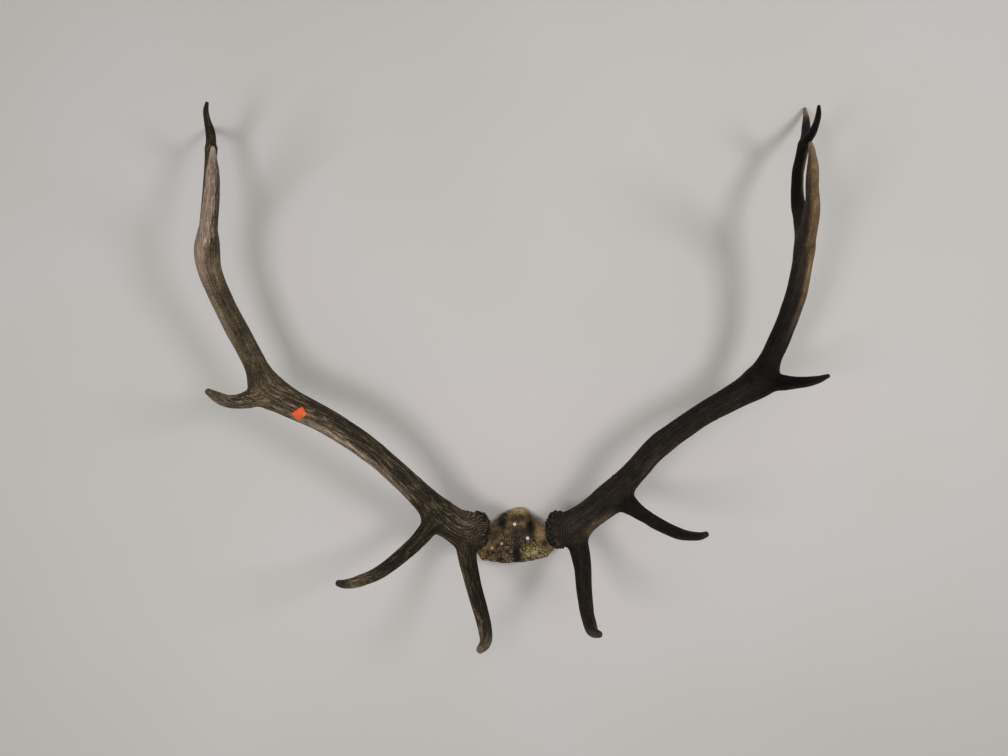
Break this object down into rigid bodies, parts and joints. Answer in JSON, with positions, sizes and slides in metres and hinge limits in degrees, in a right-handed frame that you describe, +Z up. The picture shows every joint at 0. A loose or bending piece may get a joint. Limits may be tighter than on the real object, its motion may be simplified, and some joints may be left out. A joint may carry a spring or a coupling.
{
  "type": "elk antler pair on a skull plate",
  "caption": "Pair of branching elk antlers grown on a sawn plate of skull, lying on its back with the tines up.",
  "frame": {"origin": "centre of the footprint on the floor it lies on", "axes": "+Z up from the floor, +Y from the skull plate to the crowns, +X to the right antler as seen from above with the skull nearest"},
  "size_m": [1.0132, 0.832, 0.3666],
  "materials": {
    "left_antler": "bare antler, grooved brown with olive-tan ridges, satin, tips worn pale",
    "right_antler": "bare antler, grooved near-black brown, satin, dagger tine golden brown",
    "skull_bone": "porous olive-tan bone with dark stains, matt",
    "screw_heads": "pale zinc",
    "sticker_paper": "bare orange-red coated paper"
  },
  "bodies": {
    "root": {"left_lower_beam": "left_antler", "left_brow_tine": "left_antler", "left_bez_tine": "left_antler", "left_trez_tine": "left_antler", "left_upper_beam": "left_antler", "left_dagger_tine": "left_antler", "left_crown_beam": "left_antler", "left_front_point": "left_antler", "left_rear_point": "left_antler", "right_lower_beam": "right_antler", "right_brow_tine": "right_antler", "right_bez_tine": "right_antler", "right_trez_tine": "right_antler", "right_upper_beam": "right_antler", "right_dagger_tine": "right_antler", "right_crown_beam": "right_antler", "right_front_point": "right_antler", "right_rear_point": "right_antler", "skull_plate": "skull_bone", "screw_top": "screw_heads", "screw_left": "screw_heads", "screw_right": "screw_heads", "price_sticker": "sticker_paper"}
  },
  "joints": []
}
